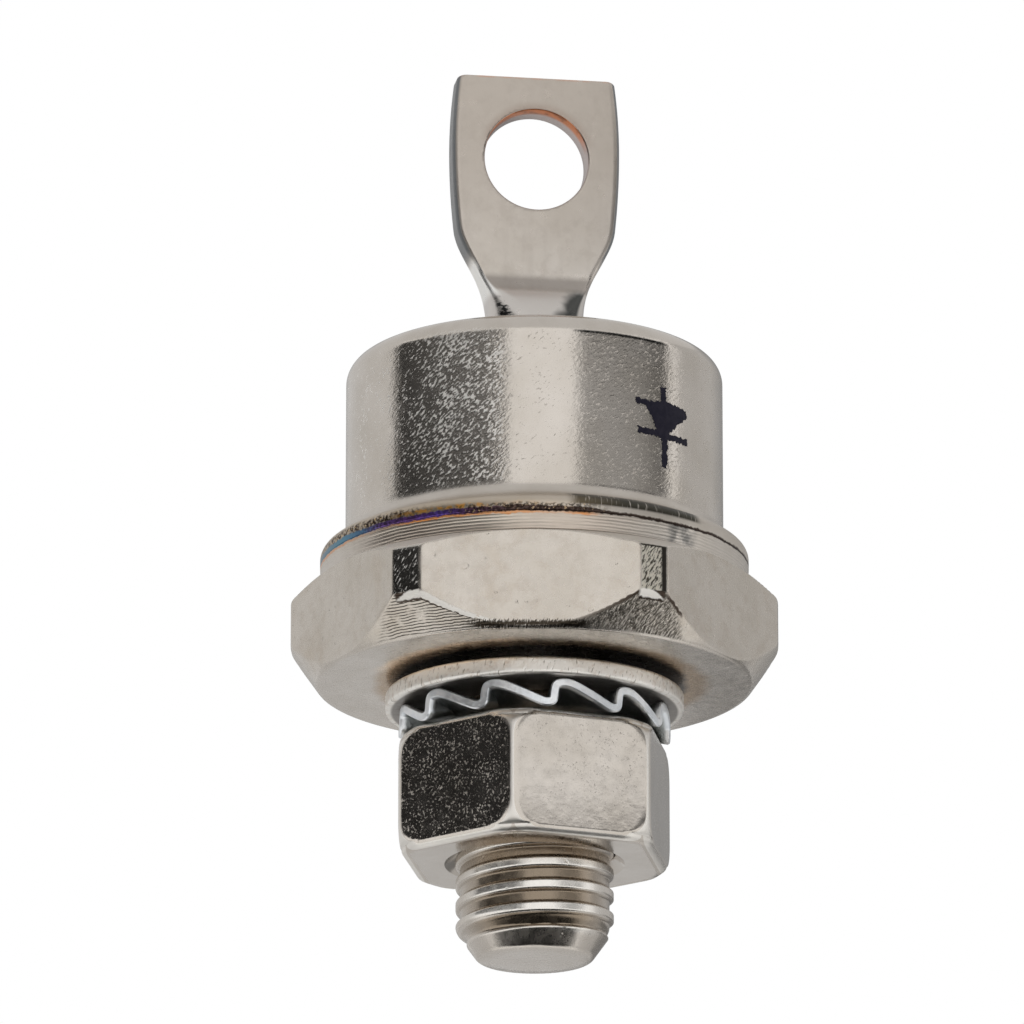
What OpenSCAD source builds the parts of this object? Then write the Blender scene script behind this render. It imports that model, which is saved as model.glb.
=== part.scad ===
// Stud mount rectifier diode with its nut and washers.
// Sizes are in millimetres. The origin is the centre of the seat under the
// hexagon, and +Z runs along the stud's axis towards the terminal.

/* [Base] */
// Width across the flats of the hexagon
hex_flats = 17.3; // [16.5:0.1:19]
// Height of the hexagon
hex_height = 4; // [3:0.1:6]
// How far the turned corners stay inside the sharp corners
corner_cut = 0.34; // [0.1:0.02:0.6]
// How far the seat's rim stays inside the flats
seat_inset = 0.05; // [0.02:0.01:0.6]
// Slope of the turned cone under the corners, in degrees
under_slope = 55; // [40:1:60]
// How far the top rim stays inside the flats
top_inset = 0.07; // [0.05:0.01:0.2]
// Slope of the chamfer above the corners, in degrees
top_slope = 30; // [20:1:40]
// Turn of the hexagon about the axis, in degrees
hex_turn = -1.3; // [-30:0.1:30]
// Diameter of the raised seat for the chip
pedestal_d = 9.2; // [8.4:0.1:11]
// Height of the raised seat above the hexagon
pedestal_height = 1.2; // [0.6:0.1:2]

/* [Stud] */
// Outer diameter of the stud's thread
stud_d = 6.22; // [5:0.02:8]
// Length of the stud below the seat
stud_length = 11.14; // [10:0.02:16]
// Diameter of the stud's flat end
stud_end_d = 4.5; // [3:0.1:4.9]
// Length of the chamfer at the stud's end
stud_chamfer = 1.2; // [0.4:0.1:2]

/* [Cap] */
// Height of the cap, from the weld line to its top
cap_height = 8.5; // [7:0.1:12]
// Thickness of the cap's sheet
cap_wall = 0.7; // [0.4:0.05:1]
// Radius of the cap's top edge
cap_edge_r = 0.9; // [0.7:0.05:1.6]
// How far the foot flange stays inside the hexagon's flats
flange_inset = 0.15; // [0.05:0.05:0.4]
// How far the foot flange stands out from the cap's wall
flange_width = 1; // [0.8:0.05:1.6]
// Height of the flange's upright rim
flange_rim = 0.3; // [0.1:0.05:0.6]
// Radius of the rounding above the rim
shoulder_r = 0.45; // [0.2:0.05:0.7]
// Turn of that rounding before it runs up into the wall, in degrees
shoulder_turn = 80; // [70:1:86]
// Height of the steel ring under the flange
ring_height = 0.8; // [0.5:0.05:1.5]
// Width of that ring, from its bore to its rim
ring_width = 1.9; // [1.4:0.1:2.4]

/* [Seal] */
// Diameter of the glass in the cap's top
seal_d = 7.6; // [6:0.1:9]
// Depth of the collar that holds the glass
collar_depth = 2.4; // [1.6:0.1:3]
// Dip of the glass between tube and collar
seal_dip = 0.25; // [0.1:0.05:0.4]
// Gap between the glass and its collar
seal_fit = 0.01; // [0.005:0.005:0.03]

/* [Terminal] */
// Outer diameter of the terminal's tube
tube_d = 3.84; // [3.4:0.02:4.8]
// Diameter of the tube's bore
tube_bore_d = 2.4; // [1.8:0.1:2.8]
// How far the tube reaches below the cap's top
tube_depth = 3.8; // [3:0.1:4.2]
// Height above the cap's top where the tube starts to flatten
neck_height = 0.9; // [0.6:0.1:2]
// Length of the slope from the round tube to the flat
flatten_length = 2.6; // [1.6:0.1:3.2]
// Height above the cap's top where the tube starts to widen
widen_height = 2; // [1:0.1:3]
// Length over which the tube widens into the blade
widen_length = 3.6; // [1.4:0.1:4.4]
// Height of the blade's top above the cap's top
blade_top = 11.9; // [11:0.1:15]
// Greatest width of the blade
blade_width = 6.78; // [5.6:0.02:8]
// Height above the cap's top where the blade is widest
widest_height = 8.9; // [7:0.1:10]
// Radius of the blade's sides above the widest place
upper_side_r = 22; // [18:1:80]
// Radius of the blade's sides below the widest place
lower_side_r = 30; // [12:0.5:40]
// Thickness of the blade
blade_thick = 1.3; // [1:0.01:2]
// Depth of the step where the flat was pressed
press_step = 0.05; // [0.02:0.01:0.1]
// Rounding of the blade's long edges
blade_edge_r = 0.25; // [0.1:0.05:0.7]
// Rounding of the blade's two top corners
blade_corner_r = 0.15; // [0.1:0.05:0.8]
// Diameter of the hole in the blade
hole_d = 4.2; // [3:0.1:4.6]
// Height of the hole above the cap's top
hole_height = 8.47; // [7.4:0.01:8.8]
// Turn of the blade about the axis, in degrees
blade_turn = 9; // [-30:1:30]

/* [Chip stack] */
// Thickness of each solder layer
solder_thick = 0.08; // [0.05:0.01:0.15]
// Diameter of the molybdenum disc
moly_d = 7.6; // [7.3:0.1:8.4]
// Thickness of the molybdenum disc
moly_thick = 0.5; // [0.3:0.05:1]
// Diameter of the silicon chip
chip_d = 6.4; // [5.4:0.1:6.5]
// Thickness of the silicon chip
chip_thick = 0.3; // [0.2:0.02:0.5]
// Width of the coating round the chip's edge
coat_width = 0.4; // [0.2:0.05:0.4]
// Diameter of the contact disc on the chip
contact_d = 4.8; // [3:0.1:5.2]
// Thickness of the contact disc
contact_thick = 0.6; // [0.3:0.05:1]
// Gap between the inner lead and the tube's bore
lead_fit = 0.05; // [0.02:0.01:0.1]
// Gap between the inner lead's end and the top of the tube's bore
lead_gap = 0.3; // [0.1:0.1:1.5]

/* [Washers and nut] */
// Gap between the seat and the flat washer
seat_gap = 0.35; // [0.1:0.05:1.5]
// Diameter of the flat washer
washer_d = 11.8; // [10:0.1:14]
// Thickness of the flat washer
washer_thick = 0.7; // [0.4:0.05:1.2]
// Gap between the stud and each washer's hole
washer_fit = 0.2; // [0.1:0.05:0.5]
// Diameter of the lock washer
lock_d = 10.74; // [10:0.02:12]
// Height of the lock washer over its teeth
lock_height = 1.16; // [0.8:0.02:1.4]
// Thickness of the lock washer's sheet
lock_sheet = 0.38; // [0.25:0.01:0.4]
// Number of folded teeth on the lock washer
lock_teeth = 12; // [8:1:14]
// Width of the lock washer's flat inner rim
lock_rim = 0.5; // [0.3:0.05:0.9]
// Share of each tooth that slopes gently down
lock_slope_share = 0.68; // [0.5:0.02:0.7]
// Turn of the lock washer about the axis, in degrees
lock_turn = 12.8; // [0:0.1:30]
// Width across the flats of the nut
nut_flats = 10; // [9.4:0.1:13]
// Height of the nut
nut_height = 5; // [3:0.1:6]
// Rounding of the nut's upright edges
nut_edge_r = 0.3; // [0.2:0.1:1.2]
// How far the nut's corners are cut back at its ends
nut_corner_cut = 0.43; // [0.2:0.01:0.6]
// Slope of that cut, in degrees
nut_slope = 65; // [45:1:68]
// Width of the countersink at each end of the nut's bore
nut_mouth = 0.4; // [0.1:0.05:0.6]
// Turn of the nut about the axis, in degrees
nut_turn = 21; // [-30:1:30]
// Gap between the stud and the nut's bore
thread_fit = 0.04; // [0.02:0.01:0.1]
// Gap between the stacked washers and nut
stack_fit = 0.02; // [0.01:0.01:0.05]

/* [Hidden] */
$fn = 96;

corner_r = hex_flats / 2 / cos(30) - corner_cut;
seat_r = hex_flats / 2 - seat_inset;
top_r = hex_flats / 2 - top_inset;
under_height = (corner_r - seat_r) * tan(under_slope);
top_height = (corner_r - top_r) * tan(top_slope);
inner_overlap = hex_height / 2;

weld_z = hex_height + ring_height;
cap_top = weld_z + cap_height;
flange_r = hex_flats / 2 - flange_inset;
cap_r = flange_r - flange_width;
seal_r = seal_d / 2;
tube_r = tube_d / 2;
shoulder_x = flange_r - shoulder_r;
shoulder_z = weld_z + flange_rim;
run_up_r = (shoulder_x - cap_r + shoulder_r * cos(shoulder_turn)) / (1 - cos(shoulder_turn));
run_up_x = cap_r + run_up_r;
run_up_z = shoulder_z + (shoulder_r + run_up_r) * sin(shoulder_turn);

tube_bottom = cap_top - tube_depth;
neck_z = cap_top + neck_height;
crease_z = neck_z + flatten_length;
widen_z = cap_top + widen_height;
blade_end = cap_top + blade_top;
widest_z = cap_top + widest_height;
pressed_r = blade_thick / 2 + press_step;
corner_steps = 14;
neck_steps = 14;
blade_steps = 16;
end_steps = 6;

chip_seat = hex_height + pedestal_height;
moly_z = chip_seat + solder_thick;
chip_solder_z = moly_z + moly_thick;
chip_z = chip_solder_z + solder_thick;
upper_solder_z = chip_z + chip_thick;
contact_z = upper_solder_z + solder_thick;
lead_z = contact_z + contact_thick;
lead_top = neck_z - lead_gap;
lead_d = tube_bore_d - 2 * lead_fit;

washer_bore_r = stud_d / 2 + washer_fit;
washer_z = -seat_gap - washer_thick;
lock_top = washer_z - stack_fit;
lock_z = lock_top - lock_height;
nut_top = lock_z - stack_fit;
nut_z = nut_top - nut_height;
nut_bore_r = stud_d / 2 + thread_fit;
nut_corner_r = (nut_flats / 2 - nut_edge_r) / cos(30) + nut_edge_r;
nut_face_r = nut_corner_r - nut_corner_cut;
nut_chamfer = nut_corner_cut * tan(nut_slope);
lock_wave = lock_height - lock_sheet;
tooth_steps = 16;
lock_ring_steps = 5;

function arc(x, y, r, from, to, steps) = [
    for (i = [0 : steps])
        let (a = from + (to - from) * i / steps)
        [x + r * cos(a), y + r * sin(a)]
];

function clamp(x) = min(max(x, 0), 1);

function ease(x) = let (u = clamp(x)) u * u * (3 - 2 * u);

// Faces of a closed skin over rows of points, each row running once round
function skin_sides(rows, count) = [
    for (i = [0 : rows - 2], j = [0 : count - 1])
        let (k = (j + 1) % count)
        each [
            [i * count + j, (i + 1) * count + j, (i + 1) * count + k],
            [i * count + j, (i + 1) * count + k, i * count + k]
        ]
];

function skin_ends(rows, count) = [
    [for (j = [0 : count - 1]) j],
    [for (j = [count - 1 : -1 : 0]) (rows - 1) * count + j]
];

module stud_base() {
    color("silver") {
        intersection() {
            rotate(hex_turn)
                linear_extrude(hex_height)
                    circle(r = hex_flats / 2 / cos(30), $fn = 6);
            rotate_extrude()
                polygon([
                    [0, 0],
                    [seat_r, 0],
                    [corner_r, under_height],
                    [corner_r, hex_height - top_height],
                    [top_r, hex_height],
                    [0, hex_height]
                ]);
        }
        rotate_extrude()
            polygon([
                [0, -stud_length],
                [stud_end_d / 2, -stud_length],
                [stud_d / 2, stud_chamfer - stud_length],
                [stud_d / 2, inner_overlap],
                [0, inner_overlap]
            ]);
        translate([0, 0, inner_overlap])
            cylinder(d = pedestal_d, h = chip_seat - inner_overlap);
    }
}

module weld_ring() {
    color("gray")
        translate([0, 0, hex_height])
            difference() {
                cylinder(r = flange_r, h = ring_height);
                translate([0, 0, -1])
                    cylinder(r = flange_r - ring_width, h = ring_height + 2);
            }
}

// Sheet cap: flange, run-up into the wall, rounded top edge, collar for the glass
module cap() {
    edge_x = cap_r - cap_edge_r;
    edge_z = cap_top - cap_edge_r;
    color("lightgray")
        rotate_extrude()
            polygon(concat(
                [[cap_r - cap_wall, weld_z], [flange_r, weld_z]],
                arc(shoulder_x, shoulder_z, shoulder_r, 0, shoulder_turn, 8),
                arc(run_up_x, run_up_z, run_up_r, 180 + shoulder_turn, 180, 10),
                arc(edge_x, edge_z, cap_edge_r, 0, 90, 10),
                [
                    [seal_r, cap_top],
                    [seal_r, cap_top - collar_depth],
                    [seal_r + cap_wall, cap_top - collar_depth],
                    [seal_r + cap_wall, cap_top - cap_wall],
                    [cap_r - cap_wall, cap_top - cap_wall]
                ]
            ));
}

// Glass with a shallow dip above and below
module glass_seal() {
    outer_r = seal_r - seal_fit;
    middle_r = (outer_r + tube_r) / 2;
    color("seagreen", 0.8)
        rotate_extrude()
            polygon([
                [tube_r, cap_top - collar_depth],
                [middle_r, cap_top - collar_depth + seal_dip],
                [outer_r, cap_top - collar_depth],
                [outer_r, cap_top],
                [middle_r, cap_top - seal_dip],
                [tube_r, cap_top]
            ]);
}

function side_r(z) = z > widest_z ? upper_side_r : lower_side_r;

function end_round(z) =
    let (over = clamp((z - blade_end + blade_corner_r) / blade_corner_r))
    blade_corner_r * (1 - sqrt(1 - over * over));

function blade_half(z) =
    blade_width / 2 - (z - widest_z) * (z - widest_z) / (2 * side_r(z)) - end_round(z);

function half_width(z) =
    tube_r + (blade_half(z) - tube_r) * ease((z - widen_z) / widen_length);

function half_thick(z) =
    tube_r + (pressed_r - tube_r) * (1 - cos(90 * clamp((z - neck_z) / flatten_length)));

function edge_round(z) =
    min(
        half_thick(z),
        half_width(z),
        tube_r + (blade_edge_r - tube_r) * ease((z - neck_z) / flatten_length)
    );

// One cross-section of the terminal: a circle that becomes a rounded rectangle
function terminal_ring(z) =
    let (e = edge_round(z), x = half_width(z) - e, y = half_thick(z) - e)
    [
        for (q = [0 : 3])
            each [
                for (p = arc(
                    (q == 0 || q == 3) ? x : -x, q < 2 ? y : -y,
                    e, 90 * q, 90 * (q + 1) - 2, corner_steps
                )) [p[0], p[1], z]
            ]
    ];

function terminal_heights() = concat(
    [tube_bottom],
    [for (i = [0 : neck_steps]) neck_z + (crease_z - neck_z) * i / neck_steps],
    [
        for (i = [1 : blade_steps])
            crease_z + (blade_end - blade_corner_r - crease_z) * i / blade_steps
    ],
    [for (i = [1 : end_steps]) blade_end - blade_corner_r * (1 - sin(90 * i / end_steps))]
);

module terminal() {
    heights = terminal_heights();
    count = 4 * (corner_steps + 1);
    press_h = blade_end - crease_z + 1;
    color("silver")
        rotate(blade_turn)
            difference() {
                polyhedron(
                    points = [for (z = heights) each terminal_ring(z)],
                    faces = concat(skin_sides(len(heights), count), skin_ends(len(heights), count))
                );
                for (side = [-1, 1])
                    translate([
                        -blade_width, side * (blade_thick / 2 + 1) - 1, crease_z
                    ])
                        cube([2 * blade_width, 2, press_h]);
                translate([0, 0, cap_top + hole_height])
                    rotate([90, 0, 0])
                        cylinder(d = hole_d, h = 2 * tube_d, center = true);
                translate([0, 0, tube_bottom - 1])
                    cylinder(d = tube_bore_d, h = neck_z - tube_bottom + 1);
            }
}

module inner_lead() {
    color("chocolate")
        translate([0, 0, lead_z])
            cylinder(d = lead_d, h = lead_top - lead_z);
}

module layer(d, z, thick) {
    translate([0, 0, z])
        cylinder(d = d, h = thick);
}

module contact_disc() {
    color("peru")
        layer(contact_d, contact_z, contact_thick);
}

module upper_solder() {
    color("darkgray")
        layer(contact_d, upper_solder_z, solder_thick);
}

module silicon_chip() {
    color("dimgray")
        layer(chip_d, chip_z, chip_thick);
}

module chip_solder() {
    color("darkgray")
        layer(chip_d, chip_solder_z, solder_thick);
}

module molybdenum_disc() {
    color("slategray")
        layer(moly_d, moly_z, moly_thick);
}

module base_solder() {
    color("darkgray")
        layer(moly_d, chip_seat, solder_thick);
}

module junction_coating() {
    color("white", 0.8)
        difference() {
            layer(chip_d + 2 * coat_width, chip_solder_z, solder_thick + chip_thick);
            layer(chip_d, chip_solder_z - 1, solder_thick + chip_thick + 2);
        }
}

module flat_washer() {
    color("silver")
        translate([0, 0, washer_z])
            difference() {
                cylinder(d = washer_d, h = washer_thick);
                translate([0, 0, -1])
                    cylinder(r = washer_bore_r, h = washer_thick + 2);
            }
}

// Height of the folded rim over one tooth: a long slope down, then a short rise
function fold(p) =
    cos(p < lock_slope_share
        ? 180 * p / lock_slope_share
        : 180 + 180 * (p - lock_slope_share) / (1 - lock_slope_share)) / 2;

function fold_slope(p) =
    let (step = 0.001)
    (fold(p + step) - fold(p - step)) / (2 * step);

// One point of the folded sheet, half the sheet above (side 1) or below (side -1) its middle
function lock_point(r, turn, side) =
    let (
        p = turn - floor(turn),
        swing = lock_wave * ease((r - washer_bore_r - lock_rim) / (lock_d / 2 - washer_bore_r - lock_rim)),
        arc_length = 2 * PI * r / lock_teeth,
        lean = atan(swing * fold_slope(p) / arc_length),
        along = -side * lock_sheet / 2 * sin(lean),
        a = 360 * turn / lock_teeth + along / r * 180 / PI
    )
    [
        r * cos(a),
        r * sin(a),
        lock_z + lock_height / 2 + swing * fold(p) + side * lock_sheet / 2 * cos(lean)
    ];

function lock_radii() = [
    for (i = [0 : lock_ring_steps - 1])
        washer_bore_r + (lock_d / 2 - washer_bore_r) * i / (lock_ring_steps - 1)
];

// Section of the sheet at one angle: out along its underside, back along its top
function lock_section(turn) = concat(
    [for (r = lock_radii()) lock_point(r, turn, -1)],
    [for (i = [lock_ring_steps - 1 : -1 : 0]) lock_point(lock_radii()[i], turn, 1)]
);

module lock_washer() {
    sections = lock_teeth * tooth_steps;
    count = 2 * lock_ring_steps;
    color("lightsteelblue")
        rotate(lock_turn - 90)
            polyhedron(
                points = [for (i = [0 : sections - 1]) each lock_section(i / tooth_steps)],
                faces = [
                    for (i = [0 : sections - 1], j = [0 : count - 1])
                        let (
                            n = (i + 1) % sections,
                            k = (j + 1) % count
                        )
                        each [
                            [i * count + j, n * count + j, n * count + k],
                            [i * count + j, n * count + k, i * count + k]
                        ]
                ]
            );
}

// Hexagon with rounded upright edges
module rounded_hexagon(flats, edge_r) {
    centre_r = (flats / 2 - edge_r) / cos(30);
    polygon([
        for (i = [0 : 5])
            each arc(centre_r * cos(60 * i), centre_r * sin(60 * i), edge_r, 60 * i - 30, 60 * i + 30, 8)
    ]);
}

module hex_nut() {
    mouth_r = nut_bore_r + nut_mouth;
    color("silver")
        translate([0, 0, nut_z])
            difference() {
                intersection() {
                    rotate(nut_turn)
                        linear_extrude(nut_height)
                            rounded_hexagon(nut_flats, nut_edge_r);
                    rotate_extrude()
                        polygon([
                            [0, 0],
                            [nut_face_r, 0],
                            [nut_corner_r, nut_chamfer],
                            [nut_corner_r + nut_corner_cut, nut_height / 2],
                            [nut_corner_r, nut_height - nut_chamfer],
                            [nut_face_r, nut_height],
                            [0, nut_height]
                        ]);
                }
                rotate_extrude()
                    polygon([
                        [0, -1],
                        [mouth_r + 1, -1],
                        [nut_bore_r, nut_mouth],
                        [nut_bore_r, nut_height - nut_mouth],
                        [mouth_r + 1, nut_height + 1],
                        [0, nut_height + 1]
                    ]);
            }
}

stud_base();
weld_ring();
cap();
glass_seal();
terminal();
inner_lead();
contact_disc();
upper_solder();
silicon_chip();
chip_solder();
molybdenum_disc();
base_solder();
junction_coating();
flat_washer();
lock_washer();
hex_nut();
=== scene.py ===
import math
from functools import partial, reduce

import bmesh
import bpy
import numpy as np
from mathutils import Matrix, Vector


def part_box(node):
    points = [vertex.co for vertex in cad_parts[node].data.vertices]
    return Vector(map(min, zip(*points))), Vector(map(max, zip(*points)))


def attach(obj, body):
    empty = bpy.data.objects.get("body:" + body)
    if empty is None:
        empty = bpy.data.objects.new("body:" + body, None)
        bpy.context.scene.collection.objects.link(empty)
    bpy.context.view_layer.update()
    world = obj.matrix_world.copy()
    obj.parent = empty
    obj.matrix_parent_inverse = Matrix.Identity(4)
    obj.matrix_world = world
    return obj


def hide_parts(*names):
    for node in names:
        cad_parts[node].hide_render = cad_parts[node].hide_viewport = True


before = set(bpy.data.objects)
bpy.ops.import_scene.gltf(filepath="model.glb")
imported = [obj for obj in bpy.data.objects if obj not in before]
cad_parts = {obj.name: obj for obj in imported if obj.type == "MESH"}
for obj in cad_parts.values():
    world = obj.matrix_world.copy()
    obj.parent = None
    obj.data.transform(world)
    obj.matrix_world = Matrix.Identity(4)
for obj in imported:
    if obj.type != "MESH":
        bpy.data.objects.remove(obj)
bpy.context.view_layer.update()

# Lengths in this script are in millimetres, and become metres where a mesh is made
MM = 0.001


def node_box(node):
    """A CAD node's lowest and highest corners, in millimetres."""
    low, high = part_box(node)
    return np.array(low) / MM, np.array(high) / MM


# Places and sizes that the frame gives
stud_end_z = node_box("stud_base")[0][2]
hex_top = node_box("weld_ring")[0][2]
weld_z = node_box("weld_ring")[1][2]
flange_r = node_box("weld_ring")[1][0]
cap_top = node_box("cap")[1][2]
tube_bottom = node_box("terminal")[0][2]
blade_end = node_box("terminal")[1][2]
seal_bottom = node_box("glass_seal")[0][2]
washer_low, washer_high = node_box("flat_washer")
lock_low, lock_high = node_box("lock_washer")
nut_low, nut_high = node_box("hex_nut")

# Sizes that the frame's boxes don't show
HEX_FLATS = 17.3
HEX_TURN = -1.3
CORNER_CUT = 0.34
SEAT_INSET = 0.05
UNDER_SLOPE = 55
TOP_SLOPE = 30
STUD_R = 3.11
STUD_END_R = 2.25
STUD_CHAMFER = 1.2
RING_WIDTH = 1.9
RING_LEAN = 0.09
FLANGE_WIDTH = 1.0
FLANGE_RIM = 0.3
SHOULDER_R = 0.45
SHOULDER_TURN = 80
CAP_WALL = 0.7
CAP_EDGE_R = 0.9
SEAL_R = 3.8
SEAL_DIP = 0.25
TUBE_R = 1.92
FLATTEN_LENGTH = 2.6
WIDEN_LENGTH = 3.6
BLADE_WIDTH = 6.78
UPPER_SIDE_R = 22
LOWER_SIDE_R = 30
BLADE_THICK = 1.3
BLADE_EDGE_R = 0.25
BLADE_CORNER_R = 0.15
BLADE_TURN = 9
HOLE_R = 2.1
WASHER_BORE_R = 3.31
LOCK_SHEET = 0.36
LOCK_TEETH = 12
LOCK_RIM = 0.5
LOCK_TURN = 12.8
NUT_FLATS = 10.0
NUT_EDGE_R = 0.3
NUT_TURN = 21
NUT_MOUTH = 0.4
THREAD_FIT = 0.04

# Rounded and softened edges
TOP_INSET = 0.03
STUD_ROUND = 0.14
CREASE_DROP = 0.25
CREASE_BLEND = 0.42
NUT_SOFT_EDGE = 0.28
NUT_CORNER_CUT = 0.33
NUT_CORNER_HEIGHT = 1.05

# Edges that turn by more than this, in degrees, are shaded sharp
SHARP_ANGLE = 40

# The thread: a quarter inch stud with 28 threads to the inch, shallow and soft, that runs out at the end
THREAD_PITCH = 25.4 / 28
THREAD_DEPTH = 0.17
CREST_SHARE = 0.28
ROOT_SHARE = 0.36
THREAD_START = -0.4
THREAD_RUN_OUT = 0.55
THREAD_FADE = 0.3

# Places and sizes that follow from these
CAP_R = flange_r - FLANGE_WIDTH
CORNER_R = HEX_FLATS / 2 / math.cos(math.radians(30)) - CORNER_CUT
SEAT_R = HEX_FLATS / 2 - SEAT_INSET
TOP_R = HEX_FLATS / 2 - TOP_INSET
UNDER_HEIGHT = (CORNER_R - SEAT_R) * math.tan(math.radians(UNDER_SLOPE))
TOP_HEIGHT = (CORNER_R - TOP_R) * math.tan(math.radians(TOP_SLOPE))
NECK_Z = cap_top + 0.9
CREASE_Z = NECK_Z + FLATTEN_LENGTH
WIDEN_Z = cap_top + 2.0
WIDEST_Z = cap_top + 8.9
HOLE_Z = cap_top + 8.47


# Mesh helpers


def arc(x, y, r, start, end, steps):
    """Points on an arc, from one angle to another in degrees."""
    angles = np.radians(np.linspace(start, end, steps + 1))
    return [(x + r * math.cos(a), y + r * math.sin(a)) for a in angles]


def rounded_path(points, rounding, spacing):
    """Points along a polyline with rounded corners, about one spacing apart."""
    points = [np.array(p, float) for p in points]
    knots = [[points[0]]]
    for before, corner, after in zip(points, points[1:], points[2:]):
        to_before, to_after = before - corner, after - corner
        length_before, length_after = np.linalg.norm(to_before), np.linalg.norm(to_after)
        reach = min(rounding, 0.45 * length_before, 0.45 * length_after)
        start = corner + to_before / length_before * reach
        end = corner + to_after / length_after * reach
        knots.append([
            (1 - t) ** 2 * start + 2 * t * (1 - t) * corner + t ** 2 * end
            for t in np.linspace(0, 1, 5)
        ])
    knots.append([points[-1]])
    path = []
    for here, there in zip(knots, knots[1:]):
        path += here
        gap = np.linalg.norm(there[0] - here[-1])
        for t in np.linspace(0, 1, max(1, math.ceil(gap / spacing)), endpoint=False)[1:]:
            path.append(here[-1] + (there[0] - here[-1]) * t)
    path += knots[-1]
    return np.array(path)


def closed_path(points, rounding, spacing):
    """A closed profile with rounded corners."""
    first = (np.array(points[0]) + np.array(points[-1])) / 2
    return rounded_path([first, *points, first], rounding, spacing)[:-1]


def smooth_min(a, b, blend):
    """The lesser of two values, with the corner between them rounded."""
    h = np.clip(0.5 + 0.5 * (b - a) / blend, 0, 1)
    return b * (1 - h) + a * h - blend * h * (1 - h)


def ease(x):
    u = np.clip(x, 0, 1)
    return u * u * (3 - 2 * u)


def angles_round(count):
    return np.arange(count) * 2 * math.pi / count


def polar_rows(radii, heights, angles):
    """Rows of points from radius and height tables of rows by angles."""
    return np.stack([radii * np.cos(angles), radii * np.sin(angles), heights], axis=-1)


def skin(rows, wrap=False):
    """Vertices and faces over rows of points that each run once round."""
    row_count, count = rows.shape[:2]
    vertices = rows.reshape(-1, 3)
    last = row_count if wrap else row_count - 1
    i = np.arange(last)[:, None]
    j = np.arange(count)[None, :]
    up, on = (i + 1) % row_count, (j + 1) % count
    faces = np.stack([i * count + j, i * count + on, up * count + on, up * count + j], axis=-1)
    faces = faces.reshape(-1, 4).tolist()
    if not wrap:
        poles = np.stack([rows[0].mean(0), rows[-1].mean(0)])
        first_pole = len(vertices)
        vertices = np.concatenate([vertices, poles])
        top = (row_count - 1) * count
        faces += [[first_pole, (k + 1) % count, k] for k in range(count)]
        faces += [[first_pole + 1, top + k, top + (k + 1) % count] for k in range(count)]
    return vertices, faces


def add_object(name, data):
    thing = bpy.data.objects.new(name, data)
    bpy.context.scene.collection.objects.link(thing)
    return thing


def make_object(name, skins):
    """One mesh object from closed skins, with its normals outwards."""
    mesh = bpy.data.meshes.new(name)
    vertices, faces = [], []
    for skin_vertices, skin_faces in skins:
        shift = sum(len(v) for v in vertices)
        vertices.append(skin_vertices)
        faces += [[k + shift for k in face] for face in skin_faces]
    mesh.from_pydata((np.concatenate(vertices) * MM).tolist(), [], faces)
    work = bmesh.new()
    work.from_mesh(mesh)
    bmesh.ops.recalc_face_normals(work, faces=work.faces)
    work.to_mesh(mesh)
    work.free()
    return add_object(name, mesh)


def dress(thing, body, material, replaced):
    """Gives a piece its material, its smooth shading and its place in the frame."""
    thing.data.materials.clear()
    thing.data.materials.append(material)
    thing.data.shade_smooth()
    thing.data.set_sharp_from_angle(angle=math.radians(SHARP_ANGLE))
    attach(thing, body)
    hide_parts(*replaced)


# Shapes


def hexagon_radius(angles, flats, turn, edge_r=0.0):
    """Radius of a hexagon with rounded corners, one flat facing -Y before its turn."""
    offset = angles - math.radians(turn + 30)
    away = np.abs((offset + math.pi / 6) % (math.pi / 3) - math.pi / 6)
    centre = (flats / 2 - edge_r) / math.cos(math.pi / 6)
    flat = flats / 2 / np.cos(away)
    lean = math.pi / 6 - away
    reach = np.clip(edge_r ** 2 - (centre * np.sin(lean)) ** 2, 0, None)
    corner = centre * np.cos(lean) + np.sqrt(reach)
    on_corner = flats / 2 * np.tan(away) > (flats / 2 - edge_r) * math.tan(math.pi / 6)
    return np.where(on_corner, corner, flat)


def hexagon_angles(turn, edge_away, soft):
    """Angles round a hexagon, close together near each edge of its turned corners."""
    half = np.concatenate([
        np.linspace(0, edge_away - soft, 16, endpoint=False),
        np.linspace(edge_away - soft, edge_away + soft, 11, endpoint=False),
        np.linspace(edge_away + soft, 30, 5, endpoint=False),
    ])
    sector = np.concatenate([half, 60 - half[:0:-1], [30]])
    sector.sort()
    return np.radians(np.concatenate([sector + 60 * k + turn + 30 for k in range(6)]))


def thread_radius(angles, heights, outer_r):
    """Radius of a right-hand thread with flat crests and wide soft roots."""
    turn = (heights - THREAD_START) / THREAD_PITCH - angles / (2 * math.pi)
    from_crest = 2 * np.abs(turn - np.round(turn))
    depth = (from_crest - CREST_SHARE) / (1 - CREST_SHARE - ROOT_SHARE)
    return outer_r - THREAD_DEPTH * ease(depth)


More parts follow.
